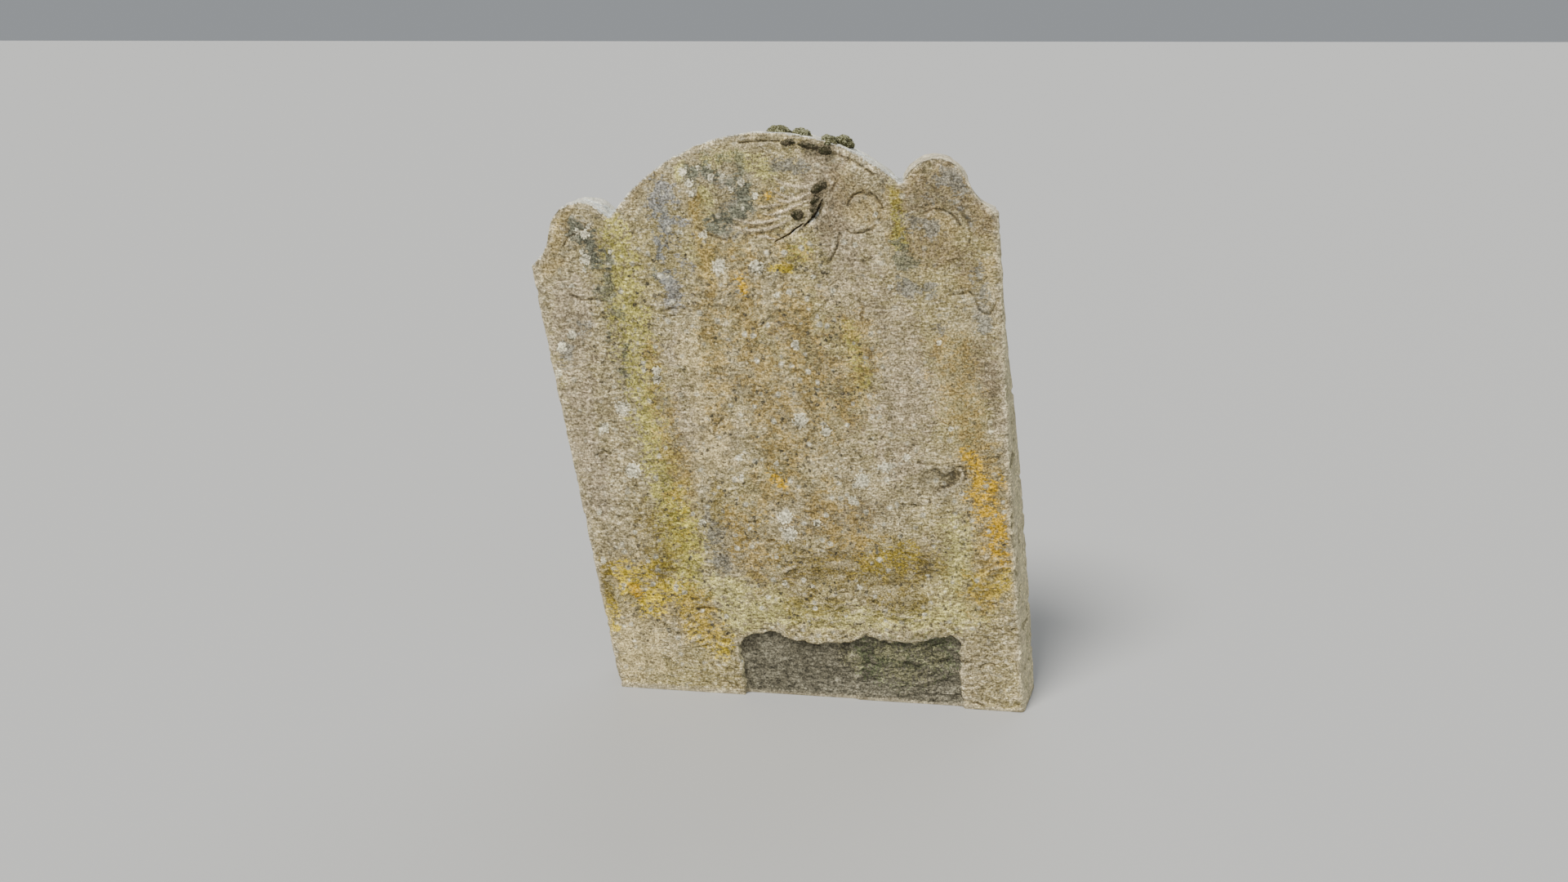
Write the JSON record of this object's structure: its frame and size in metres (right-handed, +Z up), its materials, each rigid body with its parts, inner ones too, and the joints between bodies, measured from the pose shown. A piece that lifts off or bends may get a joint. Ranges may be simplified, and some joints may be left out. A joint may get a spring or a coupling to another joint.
{
  "type": "tombstone",
  "caption": "Leaning sandstone headstone: a round arched head between round shoulders, carved roundels and swag, a worn inscription, moss cushions, and a foot cut level at the ground.",
  "frame": {"origin": "centre of the level underside, where the stone's middle line meets the ground", "axes": "+Z up, +Y from the carved face towards the back, +X to the right as seen from the carved face; the stone leans towards -X"},
  "size_m": [0.8946, 0.1062, 1.0395],
  "materials": {
    "sandstone": "weathered pinkish-buff sandstone with grey, ochre and yellow-green lichen, rough and matte",
    "moss": "dark olive-brown cushion moss, granular and matte"
  },
  "bodies": {
    "root": {"headstone": "sandstone", "crown_moss_1": "moss", "crown_moss_2": "moss", "crown_moss_3": "moss", "crown_moss_4": "moss", "border_moss_1": "moss", "border_moss_2": "moss", "border_moss_3": "moss", "crevice_moss_1": "moss", "crevice_moss_2": "moss", "crevice_moss_3": "moss", "crevice_moss_4": "moss"}
  },
  "joints": []
}
